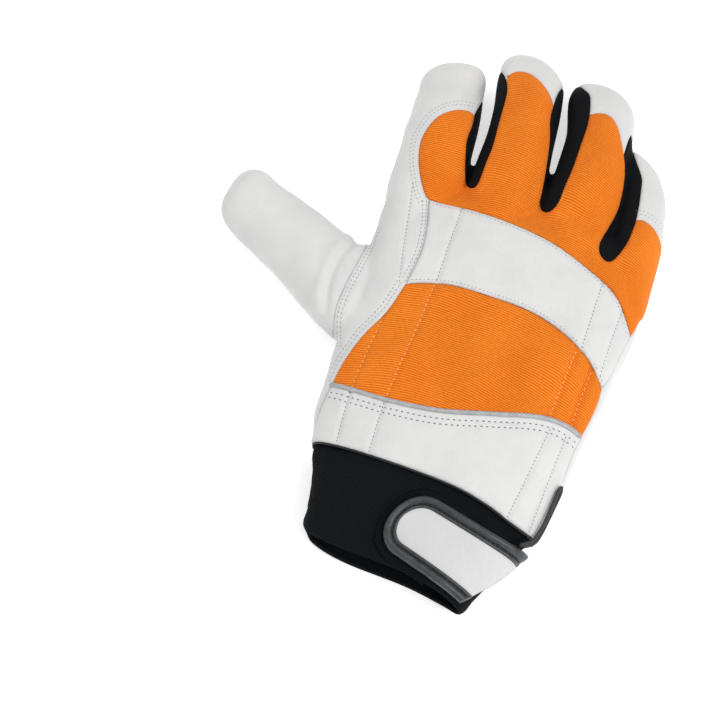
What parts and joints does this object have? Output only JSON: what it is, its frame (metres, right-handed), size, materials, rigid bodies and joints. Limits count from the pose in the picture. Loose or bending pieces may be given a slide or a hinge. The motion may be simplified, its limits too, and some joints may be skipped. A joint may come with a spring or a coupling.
{
  "type": "chainsaw glove",
  "caption": "Right-hand protective work glove with leather palm and fingers, padded textile back, reflective piping, knit wrist and hook-and-loop wrist strap.",
  "frame": {"origin": "under the middle of the glove's bounding box, on the floor the palm rests on", "axes": "+Y along the fingers, -X towards the thumb, +Z out of the back of the hand"},
  "size_m": [0.2116, 0.2764, 0.041],
  "materials": {
    "palm_leather": "smooth grain leather, satin",
    "thumb_leather": "smooth grain leather, satin",
    "finger_back_textile": "ribbed textile, matte",
    "knuckle_band_leather": "smooth grain leather, satin",
    "hand_back_textile": "ribbed textile, padded, matte",
    "reflective_piping": "silver grey, slight sheen",
    "wrist_back_leather": "smooth grain leather, satin",
    "fourchette_index_middle": "stretch textile, matte",
    "fourchette_middle_ring": "stretch textile, matte",
    "fourchette_ring_little": "stretch textile, matte",
    "knit_cuff": "fine rib knit, matte",
    "fastening_patch": "loop pile, matte",
    "wrist_strap": "smooth grain leather, satin",
    "strap_binding": "dark grey synthetic leather, satin",
    "pull_loop": "woven cord, matte"
  },
  "bodies": {
    "root": {"palm_leather": "palm_leather", "thumb_leather": "thumb_leather", "finger_back_textile": "finger_back_textile", "knuckle_band_leather": "knuckle_band_leather", "hand_back_textile": "hand_back_textile", "reflective_piping": "reflective_piping", "wrist_back_leather": "wrist_back_leather", "fourchette_index_middle": "fourchette_index_middle", "fourchette_middle_ring": "fourchette_middle_ring", "fourchette_ring_little": "fourchette_ring_little", "knit_cuff": "knit_cuff", "fastening_patch": "fastening_patch", "wrist_strap": "wrist_strap", "strap_binding": "strap_binding", "pull_loop": "pull_loop"}
  },
  "joints": []
}
